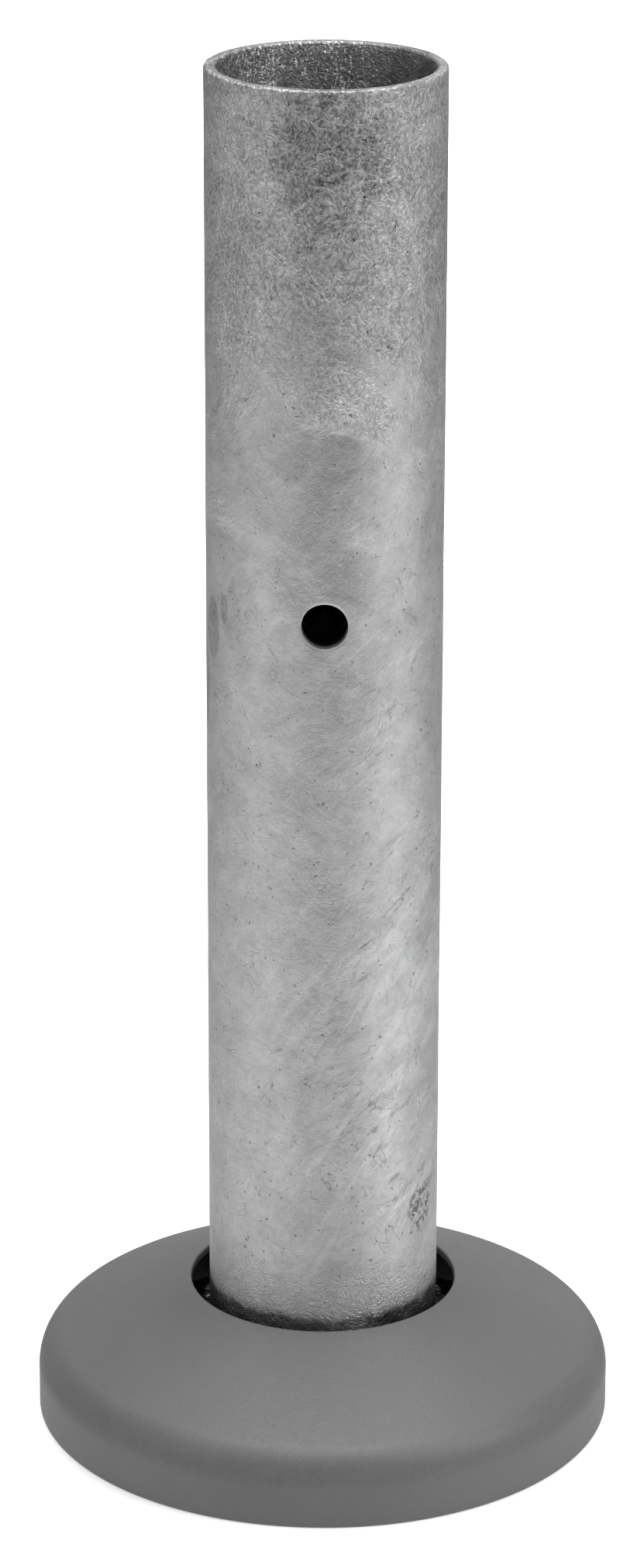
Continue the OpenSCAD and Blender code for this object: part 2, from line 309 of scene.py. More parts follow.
def ellipsoid(g, centre, half, full=0.55):  # 0 outside, 1 inside that part of its size
    move = [-c / h for c, h in zip(centre, half)]
    node = g.add("ShaderNodeVectorMath", operation="LENGTH")
    g.feed(node.inputs[0], g.mapped(scale=[1 / h for h in half], move=move))
    return g.spread(node.outputs["Value"], 1.0, full)


def slanted(g, turn, across, along):  # noise drawn out along a slope, scales as counts per metre
    drawn = g.add("ShaderNodeVectorMath", operation="MULTIPLY")
    g.feed(drawn.inputs[0], g.mapped(scale=(across, across, across), turn=(0, turn, 0)))
    drawn.inputs[1].default_value = (along / across, 0.4, 1)
    return g.noise(1.0, 5, 0.65, 0.9, vector=drawn.outputs[0])


def makeGalvanisedPost():
    g = Graph("galvanisedPost")
    s = galvanising
    height = g.axis("Z")
    across = g.axis("X")
    radial = g.add("ShaderNodeVectorMath", operation="LENGTH")
    g.feed(radial.inputs[0], g.mapped(scale=(1, 1, 0)))
    inside = g.spread(radial.outputs["Value"], *s["bore"])
    wandering = g.warped(0.010, 70)
    clouds = g.noise(s["cloudScale"], 6, 0.62, 0.9)
    mottles = g.noise(s["mottleScale"], 5, 0.6, 0.5)
    edgeNoise = g.times(g.sum(clouds, 0.5, "SUBTRACT"), 0.35)
    # the top part, where the crystals are thick; its tone weight also darkens the whole top, a painted dark
    # reflection
    crackledTopAndShade = g.spread(g.sum(height, edgeNoise), *s["crackledTopAndShade"])
    # run-off streaks that rise to the right, with broader and steeper bands low down
    streaks = slanted(g, s["streakTurn"], s["streakAcross"], s["streakAlong"])
    bands = slanted(g, s["bandTurn"], s["bandAcross"], s["bandAlong"])
    bandPlace = g.times(g.spread(across, *s["bandAcrossTube"]), g.spread(height, *s["bandUpTube"]))
    paleBands = g.times(g.spread(bands, 0.50, 0.60), bandPlace)
    streakPlace = g.times(g.spread(across, *s["streakAcrossTube"]), g.spread(height, *s["streakUpTube"]))
    streakPlace = g.times(streakPlace, g.spread(g.noise(19, 3, 0.6), 0.42, 0.58))
    darkStrokes = g.times(g.spread(streaks, 0.43, 0.34), streakPlace)
    paleStrokes = g.times(g.spread(streaks, 0.54, 0.66), streakPlace)
    # dull patches between pale veins, on the part with the thick crystals
    patches = g.cells(s["patchScale"], g.warped(0.022, 45), "F1", "Color")
    patchTone = g.spread(patches, 0.2, 0.8, -0.10, 0.08)
    veins = g.spread(g.cells(s["veinScale"], g.warped(0.020, 50), "DISTANCE_TO_EDGE"), 0.0, 0.07, 1.0, 0.0)
    veinPlace = g.times(crackledTopAndShade, g.spread(g.noise(30, 3), 0.46, 0.58))
    # hair-thin curved marks, where a slow noise crosses a level
    contour = g.sum(g.sum(g.noise(s["hairScale"], 2, 0.5, 1.6), 0.5, "SUBTRACT"), 0.0, "ABSOLUTE")
    hairs = g.times(g.spread(contour, 0.0, 0.008, 1.0, 0.0), g.spread(g.noise(60, 3), 0.49, 0.56))
    specks = g.times(g.spread(g.cells(s["speckScale"], wandering), 0.09, 0.19, 1.0, 0.0),
                     g.spread(g.noise(75, 4, 0.7), 0.48, 0.54))
    grain = g.noise(s["grainScale"], 6, 0.78, 0.6, vector=wandering)
    # the key hole's lower edge made lighter: a painted highlight where light falls into the hole
    fromHole = g.add("ShaderNodeVectorMath", operation="LENGTH")
    g.feed(fromHole.inputs[0], g.mapped(scale=(1, 0, 1), move=(0, 0, -s["holeHeight"])))
    lipRing = g.spread(fromHole.outputs["Value"], *s["lipReach"])
    paintedLipHighlight = g.times(lipRing, g.spread(g.axis("Y"), *s["lipFront"]))
    paintedLipHighlight = g.times(paintedLipHighlight, g.spread(height, s["holeHeight"], s["holeHeight"] - s["lipDrop"]))
    pits = g.times(g.spread(g.noise(380, 3, 0.6), 0.50, 0.44, 0.0, 1.0), ellipsoid(g, *pitCluster))
    wrinkles = g.noise(s["wrinkleScale"], 3, 0.62, 0.7, vector=wandering)
    strokes = g.spread(wrinkles, 0.36, 0.64, -1.0, 1.0)
    features = {
        "clouds": clouds, "mottles": mottles, "strokes": strokes,
        "darkStrokes": darkStrokes, "paleStrokes": paleStrokes, "paleBands": paleBands,
        "grain": g.sum(grain, 0.5, "SUBTRACT"), "crackledPatches": g.times(patchTone, crackledTopAndShade),
        "veins": g.times(veins, veinPlace), "crackledStrokes": g.times(strokes, crackledTopAndShade),
        "crackledMottles": g.times(g.sum(mottles, 0.5, "SUBTRACT"), crackledTopAndShade),
        "hairs": hairs, "specks": specks, "pits": pits, "paintedLipHighlight": paintedLipHighlight, "crackledTopAndShade": crackledTopAndShade,
        # painted light: the tube made lighter low down, above the cover
        "paintedFootLight": g.spread(height, *s["paintedFootLight"]),
        # painted shade: a dark band round the foot, just above the cover
        "paintedFootShade": g.spread(g.sum(height, g.times(mottles, s["footShadeWander"])), *s["footShadeLine"]),
    }
    light = s["base"]
    for name, feature in features.items():
        light = g.sum(light, g.times(feature, toneWeights[name]))
    # darker spots; the two on the front top are a painted dark reflection
    for centre, half, depth, full in darkSpotsAndReflection:
        light = g.sum(light, g.times(ellipsoid(g, centre, half, full), -depth))
    tone = g.spread(light, -0.4, 1.0, s["dark"], s["light"], soft=False)
    outsideColour = g.blendColours(1.0, g.grey(tone), s["tint"], "MULTIPLY")
    # the bore: dull zinc with bright flecks in runs
    drops = g.noise(900, 3, 0.6, vector=g.mapped(scale=(1, 1, 0.55)))
    dropPlace = g.spread(g.noise(40, 3, vector=g.mapped(scale=(1, 1, 0.3))), 0.36, 0.56)
    leftSide = g.spread(across, *s["fleckAcrossBore"])
    flecks = g.times(g.times(g.spread(drops, 0.52, 0.64), dropPlace), leftSide)
    boreTone = g.sum(g.spread(mottles, 0.3, 0.7, 0.17, 0.29), g.times(flecks, 0.55))
    colour = g.blendColours(inside, outsideColour, g.grey(boreTone))
    # relief: slow waves, crystals, wrinkles and sparkle
    normal = g.bump(clouds, 0.35, 0.0016)
    normal = g.bump(mottles, 0.4, 0.00045, normal)
    sandyFoot = g.spread(height, *s["sandyFoot"], 0.0, 0.5)
    wrinkleDepth = g.sum(g.sum(g.times(crackledTopAndShade, 0.88), 0.12), sandyFoot)
    normal = g.bump(g.times(wrinkles, wrinkleDepth), 1.0, 0.00110, normal)
    sparkle = g.noise(s["sparkleScale"], 2, 0.6)
    normal = g.bump(g.times(sparkle, wrinkleDepth), 0.8, 0.00036, normal)
    relief = g.sum(g.times(veins, veinPlace), g.times(pits, 3.0), "SUBTRACT")
    relief = g.sum(relief, g.times(streaks, streakPlace))
    relief = g.sum(relief, g.sum(hairs, specks), "SUBTRACT")
    normal = g.bump(relief, 0.4, 0.00022, normal)
    rough = g.sum(g.spread(clouds, 0.3, 0.7, 0.36, 0.46), g.times(crackledTopAndShade, -0.10))
    rough = g.sum(rough, g.times(inside, 0.12))
    return g.finish(colour, rough, s["metallic"], normal)


coverPaint = {"dark": 0.110, "light": 0.124, "roughLow": 0.38, "roughHigh": 0.50, "grainScale": 900}


def makeCoverGrey():
    g = Graph("coverGrey")
    s = coverPaint
    grain = g.cells(s["grainScale"], g.warped(0.002, 500), "F1")
    lumps = g.noise(420, 4, 0.6)
    fine = g.noise(2600, 2, 0.5)
    drawn = g.mapped(scale=(70, 30, 30), turn=(0, 0, 25))
    scuffs = g.spread(g.noise(1.0, 4, 0.6, 0.4, vector=drawn), 0.60, 0.72)
    cloud = g.sum(g.times(lumps, 0.6), g.times(g.noise(18, 4), 0.4))
    tone = g.sum(g.spread(cloud, 0.3, 0.7, s["dark"], s["light"]), g.times(scuffs, 0.006))
    normal = g.bump(grain, 0.35, 0.0002)
    normal = g.bump(g.sum(lumps, fine), 0.35, 0.0002, normal)
    rough = g.spread(lumps, 0.3, 0.7, s["roughLow"], s["roughHigh"])
    return g.finish(g.grey(tone), rough, 0.0, normal)


def makeCoverInsideShade():  # bare and matt, as moulded; its near black tone is painted shade for the dark under the cover
    g = Graph("coverInsideShade")
    lumps = g.noise(300, 4, 0.6)
    tone = g.spread(g.noise(40, 4), 0.3, 0.7, 0.035, 0.050)
    return g.finish(g.grey(tone), g.spread(lumps, 0.3, 0.7, 0.75, 0.85), 0.0, g.bump(lumps, 0.3, 0.0002),
                    **{"Specular IOR Level": 0.05})


def makePlainGalvanised():
    g = Graph("galvanisedPlate")
    clouds = g.noise(60, 6, 0.6, 0.8)
    crystals = g.spread(g.cells(160, g.warped(0.01, 90), "F1", "Color"), 0.2, 0.8, -0.03, 0.03)
    tone = g.sum(g.spread(clouds, 0.25, 0.75, 0.34, 0.58), crystals)
    normal = g.bump(g.noise(700, 3, 0.6, 0.5), 0.4, 0.0002)
    return g.finish(g.grey(tone), g.spread(clouds, 0.3, 0.7, 0.32, 0.5), 0.95, normal)


def makeMetal(name, dark, light, rough, scale=180, tint=(1, 1, 1)):
    g = Graph(name)
    turned = g.noise(scale, 5, 0.6, vector=g.mapped(scale=(1, 1, 6)))
    tone = g.spread(turned, 0.25, 0.75, dark, light)
    colour = g.blendColours(1.0, g.grey(tone), (*tint, 1), "MULTIPLY")
    normal = g.bump(g.noise(1800, 3), 0.25, 0.00008)
    return g.finish(colour, g.spread(turned, 0.3, 0.7, rough - 0.06, rough + 0.08), 1.0, normal)


def makeDarkPlastic(name, tone, rough, grainScale=1500, shine=0.4):
    g = Graph(name)
    lumps = g.noise(grainScale, 3, 0.6)
    shade = g.spread(g.noise(70, 4), 0.3, 0.7, tone * 0.8, tone * 1.25)
    return g.finish(g.grey(shade), g.spread(lumps, 0.3, 0.7, rough - 0.06, rough + 0.06), 0.0,
                    g.bump(lumps, 0.3, 0.0001), **{"Specular IOR Level": shine})


galvanisedPost = makeGalvanisedPost()
coverGrey = makeCoverGrey()
coverInsideShade = makeCoverInsideShade()
galvanisedPlate = makePlainGalvanised()
zincPlated = makeMetal("zincPlated", 0.5, 0.68, 0.28)
brightSteel = makeMetal("brightSteel", 0.45, 0.6, 0.24)
# painted shade: near black metal for the lock spindle deep in the key hole
spindlePaintedShade = makeMetal("spindlePaintedShade", 0.001, 0.003, 0.5)
# black steel, made darker still as painted shade inside the key hole
blackSteelAndShade = makeDarkPlastic("blackSteelAndShade", 0.004, 0.6, shine=0.08)
castZinc = makeMetal("castZinc", 0.32, 0.46, 0.5, scale=400)
bronze = makeMetal("bronze", 0.55, 0.75, 0.32, tint=(0.85, 0.55, 0.26))
blackRubber = makeDarkPlastic("blackRubber", 0.018, 0.75)
blackPlastic = makeDarkPlastic("blackPlastic", 0.005, 0.7, shine=0.12)
print("materials made")

slotMaterials = {
    "galvanised_post": galvanisedPost, "galvanised_plate": galvanisedPlate, "zinc_plated": zincPlated,
    "bright_steel": brightSteel, "black_steel": blackSteelAndShade, "cast_zinc": castZinc, "bronze": bronze,
    "black_rubber": blackRubber, "black_plastic": blackPlastic, "grey_cover": coverGrey,
}
for part in frame["record"]["subparts"]:
    node = nodes[part["node"]]
    node.data.materials.clear()
    node.data.materials.append(slotMaterials[part["material_slot"]])
nodes["lock_spindle"].data.materials[0] = spindlePaintedShade  # painted shade: the spindle's head made nearly black, for the shade inside the key hole

tubeSize = {  # millimetres
    "outside": 57.15, "wall": 5.6, "foot": 21.5, "top": 686.5, "rimRound": 1.2,
    "columns": 144, "rows": 222,
    "holeRadius": 11, "holeHeight": 430.4, "holePatch": 18, "patchRings": 5, "holeLip": 0.8,
    "waveSize": 38, "waveDepth": 0.3,
    "blisterAt": (-53.6, 9.6, 686.35), "blisterTurn": 80, "blisterSize": (5.2, 2.3, 0.75),
    "rimSteps": 4, "lipSteps": 2, "blisterWave": 2.5, "blisterDepth": 0.5,
}


def loopRadius(piece, height):  # mean distance of the chosen points from the key hole's axis
    bpy.ops.object.mode_set(mode="OBJECT")
    reach = [math.hypot(v.co.x, v.co.z - height) for v in piece.data.vertices if v.select]
    bpy.ops.object.mode_set(mode="EDIT")
    return sum(reach) / len(reach)


def makePostTube():
    s = tubeSize
    outside = s["outside"] * mm
    length = 2 * math.pi * outside
    height = (s["top"] - s["foot"]) * mm
    holeHeight = s["holeHeight"] * mm
    radius = s["holeRadius"] * mm
    # a flat sheet with the key hole in it
    bpy.ops.mesh.primitive_grid_add(
        x_subdivisions=s["columns"], y_subdivisions=s["rows"], size=1,
        location=(0, 0, s["foot"] * mm + height / 2), rotation=(math.radians(90), 0, 0))
    tube = named("postTube")
    tube.scale = (length, height, 1)
    settle(tube)
    patch = s["holePatch"] * mm
    chooseFaces(tube, lambda c: abs(c.x) < patch and abs(c.z - holeHeight) < patch)
    bpy.ops.mesh.delete(type="FACE")
    chooseOpenEdges(tube, lambda c: math.hypot(c.x, c.z - holeHeight) < 2 * patch)
    rings = s["patchRings"]
    for i in range(rings):  # rings that turn from the square into the round hole
        bpy.ops.mesh.extrude_region_move()
        bpy.ops.transform.tosphere(value=1 / (rings - i))
        reach = loopRadius(tube, holeHeight)
        shrink = (radius / reach) ** (1 / (rings - i))
        bpy.ops.transform.resize(value=(shrink, shrink, shrink), center_override=(0, 0, holeHeight))
    # rolled up round Z
    bpy.ops.object.mode_set(mode="OBJECT")
    roll = tube.modifiers.new("roll", "SIMPLE_DEFORM")
    roll.deform_method = "BEND"
    roll.deform_axis = "Z"
    roll.angle = math.radians(360)
    bakeModifiers(tube)
    tube.location.y = -outside
    settle(tube)
    recalcNormals(tube)
    thick = tube.modifiers.new("wall", "SOLIDIFY")
    thick.thickness = s["wall"] * mm
    thick.offset = -1
    thick.use_even_offset = True
    bakeModifiers(tube)
    # the drilled hole runs straight along Y
    inside = outside - s["wall"] * mm
    chooseVertices(tube, lambda c: c.y < 0 and math.hypot(c.x, c.y) < inside + mm
                   and math.hypot(c.x, c.z - holeHeight) < radius + 0.1 * mm)
    bpy.ops.transform.resize(value=(outside / inside, 1, 1), center_override=(0, 0, 0))

    def sameRing(a, b):
        return abs(math.hypot(a.x, a.y) - math.hypot(b.x, b.y)) < 0.5 * mm

    def onEnd(point):
        return min(abs(point.z - s["foot"] * mm), abs(point.z - s["top"] * mm)) < 0.1 * mm

    def onHole(point):
        return point.y < 0 and abs(math.hypot(point.x, point.z - holeHeight) - radius) < 0.15 * mm

    chooseEdges(tube, lambda a, b: onEnd(a) and onEnd(b) and sameRing(a, b))
    bpy.ops.mesh.bevel(offset=s["rimRound"] * mm, segments=s["rimSteps"], affect="EDGES")
    chooseEdges(tube, lambda a, b: onHole(a) and onHole(b) and sameRing(a, b))
    bpy.ops.mesh.bevel(offset=s["holeLip"] * mm, segments=s["lipSteps"], affect="EDGES")
    bpy.ops.object.mode_set(mode="OBJECT")
    waves(tube, "zincWaves", s["waveSize"] * mm, s["waveDepth"] * mm)
    bakeModifiers(tube)
    # a burst blister of zinc on the rim
    place = [v * mm for v in s["blisterAt"]]
    bpy.ops.mesh.primitive_uv_sphere_add(segments=24, ring_count=12, radius=mm, location=place)
    blister = named("blister")
    blister.scale = s["blisterSize"]
    blister.rotation_euler.z = math.radians(s["blisterTurn"])
    settle(blister)
    waves(blister, "blisterWaves", s["blisterWave"] * mm, s["blisterDepth"] * mm)
    bakeModifiers(blister)
    tube = join([tube, blister], "postTube")
    recalcNormals(tube)
    smooth(tube, 40)
    keepPiece(tube, "post", "galvanised_post", galvanisedPost, "post_tube")


coverSize = {  # millimetres
    "foot": 143.75, "side": 20.6, "shoulder": 20.4, "height": 68, "hole": 66.2, "edgeRound": 1.2,
    "wall": 4, "lipDrop": 4.4, "lipWide": 2, "footRound": 0.8, "steps": 256,
    "ribs": 8, "ribFirst": 22.5, "ribIn": 125.1, "ribOut": 141.6, "ribWide": 4, "ribLow": 1, "ribTall": 12,
    "edgeSteps": 8, "flankSteps": 12, "shoulderSteps": 20, "innerSteps": 16, "ribRound": 0.5,
    "waveSize": 60, "waveDepth": 0.12,
}


def extrudeTo(x, z, last):  # one more point of a profile in the XZ plane
    step = ((x - last[0]) * mm, 0, (z - last[1]) * mm)
    bpy.ops.mesh.extrude_region_move(TRANSFORM_OT_translate={"value": step})
    return x, z


def sweepArc(centre, radius, start, turn, steps):  # degrees, counted from +X towards +Z
    middle = (centre[0] * mm, 0, centre[1] * mm)
    bpy.ops.mesh.spin(steps=steps, angle=math.radians(turn), center=middle, axis=(0, 1, 0))
    end = math.radians(start + turn)
    return centre[0] + radius * math.cos(end), centre[1] + radius * math.sin(end)


def makeBaseCover():
    s = coverSize
    edge = (s["hole"] + s["edgeRound"], s["height"] - s["edgeRound"])
    hub = (s["foot"] - s["shoulder"], s["side"])
    rise = (edge[0] - hub[0], edge[1] - hub[1])
    tangent = math.acos((s["shoulder"] - s["edgeRound"]) / math.hypot(*rise))
    flank = math.degrees(math.atan2(rise[1], rise[0]) - tangent)
    across = (math.cos(math.radians(flank)), math.sin(math.radians(flank)))
    inner = s["shoulder"] - s["wall"]
    bpy.ops.mesh.primitive_plane_add(size=mm)
    cover = named("baseCover")
    editing(cover)
    bpy.ops.mesh.select_all(action="SELECT")
    bpy.ops.mesh.merge(type="CENTER")
    start = (s["hole"] + s["lipWide"], s["height"] - s["lipDrop"])
    bpy.ops.transform.translate(value=(start[0] * mm, 0, start[1] * mm))
    last = extrudeTo(s["hole"] + s["footRound"], start[1], start)
    last = extrudeTo(s["hole"], start[1] + s["footRound"], last)
    last = extrudeTo(s["hole"], edge[1], last)
    last = sweepArc(edge, s["edgeRound"], 180, flank - 180, s["edgeSteps"])
    top = (hub[0] + s["shoulder"] * across[0], hub[1] + s["shoulder"] * across[1])
    bend = last
    for i in range(s["flankSteps"]):  # the straight flank, in short steps for the waviness
        part = (i + 1) / s["flankSteps"]
        last = extrudeTo(bend[0] + (top[0] - bend[0]) * part, bend[1] + (top[1] - bend[1]) * part, last)
    last = sweepArc(hub, s["shoulder"], flank, -flank, s["shoulderSteps"])
    last = extrudeTo(s["foot"], s["side"] / 2, last)
    last = extrudeTo(s["foot"], s["footRound"], last)
    last = extrudeTo(s["foot"] - s["footRound"], 0, last)
    last = extrudeTo(s["foot"] - s["wall"], 0, last)
    last = extrudeTo(s["foot"] - s["wall"], s["side"], last)
    last = sweepArc(hub, inner, 0, flank, s["innerSteps"])
    last = extrudeTo(*start, last)
    bpy.ops.mesh.select_all(action="SELECT")
    bpy.ops.mesh.remove_doubles(threshold=1e-6)
    bpy.ops.mesh.select_all(action="SELECT")
    bpy.ops.mesh.spin(steps=s["steps"], angle=math.radians(360), center=(0, 0, 0), axis=(0, 0, 1))
    recalcNormals(cover)
    waves(cover, "mouldWaves", s["waveSize"] * mm, s["waveDepth"] * mm)
    bakeModifiers(cover)
    ribs = [cover]
    middle = (s["ribIn"] + s["ribOut"]) / 2 * mm
    ribHeight = (s["ribLow"] + s["ribTall"] / 2) * mm
    for i in range(s["ribs"]):
        angle = math.radians(s["ribFirst"] + i * 360 / s["ribs"])
        place = (middle * math.cos(angle), middle * math.sin(angle), ribHeight)
        bpy.ops.mesh.primitive_cube_add(size=1, location=place, rotation=(0, 0, angle))
        rib = named("rib")
        rib.scale = ((s["ribOut"] - s["ribIn"]) * mm, s["ribWide"] * mm, s["ribTall"] * mm)
        settle(rib)
        bevel = rib.modifiers.new("edges", "BEVEL")
        bevel.width = s["ribRound"] * mm
        bevel.segments = 2
        bakeModifiers(rib)
        ribs.append(rib)
    cover = join(ribs, "baseCover")
    smooth(cover, 40)
    keepPiece(cover, "cover", "grey_cover", coverGrey, "base_cover")
    # painted shade: the cover's inner faces take the near black inside material
    cover.data.materials.append(coverInsideShade)
    nearHole = (s["hole"] + s["lipWide"] + 1) * mm
    nearFoot = (s["foot"] - s["footRound"]) * mm
    for face in cover.data.polygons:
        reach = math.hypot(face.center.x, face.center.y)
        outward = face.normal.x * face.center.x + face.normal.y * face.center.y
        if (outward < 0 or face.normal.z < -0.1) and nearHole < reach < nearFoot:
            face.material_index = 1


studRow = {"radius": 85, "first": 45, "count": 4}

nutSize = {
    "flats": 19, "low": 20.5, "tall": 10.8, "bore": 5.9, "turn": 15, "edge": 0.15, "cone": 0.8,
    "rimSides": 64, "boreSides": 48,
}

studSize = {
    "radius": 6, "core": 5.1, "pitch": 1.75, "top": 34.3, "tip": 1.5, "steps": 40,
    "footBevel": 0.5, "tipBevel": 0.6, "firstRidge": 1, "plainTop": 2, "valley": (0.45, 0.55),
}

weldSize = {
    "radius": 46.4, "height": 19.6, "drops": 84, "drop": (2.7, 3.6, 2.5), "lean": 18, "tilt": 45,
    "bead": 2, "beadIn": 0.6, "beadDown": 0.2, "grain": 2, "rough": 0.35,
}


def aroundStuds(extra=0):
    for i in range(studRow["count"]):
        angle = math.radians(studRow["first"] + i * 360 / studRow["count"])
        reach = studRow["radius"] * mm
        yield (reach * math.cos(angle), reach * math.sin(angle)), angle + math.radians(extra)


def makeNuts():
    s = nutSize
    corner = s["flats"] / 2 / math.cos(math.radians(30))
    middle = (s["low"] + s["tall"] / 2) * mm
    nuts = []
    for (x, y), angle in aroundStuds(s["turn"]):
        bpy.ops.mesh.primitive_cylinder_add(
            vertices=s["rimSides"], radius=corner * mm, depth=s["tall"] * mm, location=(x, y, middle))
        nut = named("nut")
        bevel = nut.modifiers.new("cone", "BEVEL")
        bevel.width = (corner - s["flats"] / 2) * mm * s["cone"]
        bevel.limit_method = "ANGLE"
        bevel.angle_limit = math.radians(60)
        bpy.ops.mesh.primitive_cylinder_add(
            vertices=6, radius=corner * mm, depth=s["tall"] * mm * 1.2, location=(x, y, middle),
            rotation=(0, 0, angle - math.radians(90)))
        hexagon = named("hexagon")
        bpy.ops.mesh.primitive_cylinder_add(
            vertices=s["boreSides"], radius=s["bore"] * mm, depth=s["tall"] * mm * 1.4,
            location=(x, y, middle))
        bore = named("bore")
        for cutter, operation in ((hexagon, "INTERSECT"), (bore, "DIFFERENCE")):
            cut = nut.modifiers.new("cut", "BOOLEAN")
            cut.operation = operation
            cut.object = cutter
            cut.solver = "EXACT"
        worn = nut.modifiers.new("worn", "BEVEL")
        worn.width = s["edge"] * mm
        worn.segments = 2
        bakeModifiers(nut)
        settle(nut)
        for cutter in (hexagon, bore):
            bpy.data.objects.remove(cutter)
        nuts.append(nut)
    nuts = join(nuts, "flangeNuts")
    recalcNormals(nuts)
    smooth(nuts, 30)
    keepPiece(nuts, "ground_base", "zinc_plated", zincPlated, "flange_nuts")


def makeStuds():
    s = studSize
    studs = []
    for (x, y), _ in aroundStuds():
        bpy.ops.mesh.primitive_plane_add(size=mm)
        stud = named("stud")
        editing(stud)
        bpy.ops.mesh.select_all(action="SELECT")
        bpy.ops.mesh.merge(type="CENTER")
        last = extrudeTo(s["radius"] - s["footBevel"], 0, (0, 0))
        last = extrudeTo(s["radius"], s["footBevel"], last)
        turns = int((s["top"] - s["tip"] - s["plainTop"]) / s["pitch"])
        for i in range(turns):  # thread ridges
            low = s["firstRidge"] + i * s["pitch"]
            last = extrudeTo(s["radius"], low, last)
            last = extrudeTo(s["core"], low + s["pitch"] * s["valley"][0], last)
            last = extrudeTo(s["core"], low + s["pitch"] * s["valley"][1], last)
        last = extrudeTo(s["core"], s["top"] - s["footBevel"], last)
        last = extrudeTo(s["core"] - s["tipBevel"], s["top"], last)
        extrudeTo(0, s["top"], last)
        bpy.ops.mesh.select_all(action="SELECT")
        bpy.ops.mesh.spin(steps=s["steps"], angle=math.radians(360), center=(0, 0, 0), axis=(0, 0, 1))
        bpy.ops.object.mode_set(mode="OBJECT")
        stud.location = (x, y, 0)
        settle(stud)
        recalcNormals(stud)
        studs.append(stud)
    studs = join(studs, "flangeStuds")
    smooth(studs, 30)
    keepPiece(studs, "ground_base", "zinc_plated", zincPlated, "flange_studs")


def makeWeld():
    s = weldSize
    bpy.ops.mesh.primitive_torus_add(
        major_segments=144, minor_segments=12,
        major_radius=(s["radius"] - s["beadIn"]) * mm, minor_radius=s["bead"] * mm,
        location=(0, 0, (s["height"] - s["beadDown"]) * mm))
    drops = [named("bead")]
    for i in range(s["drops"]):  # overlapping ripples of the bead
        angle = math.radians(i * 360 / s["drops"])
        place = [s["radius"] * mm * math.cos(angle), s["radius"] * mm * math.sin(angle), s["height"] * mm]
        bpy.ops.mesh.primitive_ico_sphere_add(
            subdivisions=3, radius=mm, location=place,
            rotation=(0, math.radians(s["tilt"]), angle + math.radians(s["lean"])))
        drop = named("drop")
        drop.scale = s["drop"]
        drops.append(drop)
    weld = join(drops, "spigotWeld")
    settle(weld)
    waves(weld, "spatter", s["grain"] * mm, s["rough"] * mm)
    bakeModifiers(weld)
    smooth(weld, 60)
    keepPiece(weld, "ground_base", "galvanised_plate", galvanisedPlate, "spigot_weld")


edgeWidths = {
    "ground_plate": 0.6, "spigot_flange": 0.6, "spigot_tube": 0.5, "flange_washers": 0.3, "foot_ring": 0.4,
    "lower_collar": 0.3, "upper_collar": 0.3, "spigot_cap": 0.8, "strike_bar": 0.6, "lock_carrier": 0.4,
    "lock_case": 0.8, "lock_case_cover": 0.4, "case_screws": 0.3, "case_cover_screws": 0.25, "lock_bolt": 0.3,
    "key_guide": 0.3,
}


def dress(name, width, segments=2):  # sawn and pressed edges are never quite sharp
    node = nodes[name]
    weld = node.modifiers.new("weld", "WELD")
    weld.merge_threshold = 0.005 * mm
    bevel = node.modifiers.new("edges", "BEVEL")
    bevel.width = width * mm
    bevel.segments = segments
    bevel.limit_method = "ANGLE"
    bevel.angle_limit = math.radians(40)


makePostTube()
makeBaseCover()
print("post tube and cover modelled")
makeNuts()
makeStuds()
makeWeld()
for name, width in edgeWidths.items():
    dress(name, width)
print("ground pieces modelled, edges softened")

floorLook = {"half": 40.0, "tone": 0.9, "glow": 0.4, "shadeFrom": 0.121, "shadeTo": 0.1425}


def makeFloor():
    clearSelection()
    bpy.ops.mesh.primitive_plane_add(size=2 * floorLook["half"], location=(0, 0, 0))
    floor = named("studioFloor")
    g = Graph("floorWhite")
    tone = g.spread(g.noise(3, 3), 0.3, 0.7, floorLook["tone"] - 0.01, floorLook["tone"] + 0.01)
    g.shader.inputs["Emission Color"].default_value = (1, 1, 1, 1)
    radial = g.add("ShaderNodeVectorMath", operation="LENGTH")
    g.feed(radial.inputs[0], g.coords)
    reach = radial.outputs["Value"]
    glow = g.spread(reach, floorLook["shadeFrom"], floorLook["shadeTo"], 0.0, floorLook["glow"])
    g.feed(g.shader.inputs["Emission Strength"], glow)  # no glow from under the object
    floor.data.materials.append(g.finish(g.grey(tone), 0.75))
    floor.visible_glossy = False  # metal mirrors the surround instead


studioLights = {  # name: (place, aim, width, depth, watts)
    "overhead": ((0.0, 0.15, 1.9), (0, 0.1, 0), 0.7, 0.7, 10),
    "leftSide": ((-1.7, -0.9, 1.5), (-0.2, 0, 0.2), 0.9, 1.2, 5),
    "rightSide": ((1.8, -0.7, 1.6), (0.2, 0, 0.2), 0.9, 1.2, 20),
    "backdrop": ((0.0, 3.4, 2.6), (0, 3.4, 0), 4.0, 3.0, 170),
}


surround = {  # brightness that glossy surfaces see, by direction; the camera stands at -Y
    "even": 0.5, "above": 0.42, "zenith": 4.2,
    "farFloor": 0.0, "nearFloor": 1.1, "sideFloor": 0.34, "behind": 0.72,
    "horizon": -0.26, "near": -0.42,
    "left": (-0.81, -0.59, 0.62), "right": (0.92, -0.39, 1.08),  # x, y and strength
    # directions between which one brightness gives way to the next
    "aheadY": (-0.95, -0.2), "behindY": (0.1, 0.9), "skyZ": (0.0, 0.1), "zenithZ": (0.78, 0.96),
    "sideSpread": (0.72, 0.98), "aheadShare": 0.4, "sideShare": 0.5,
}


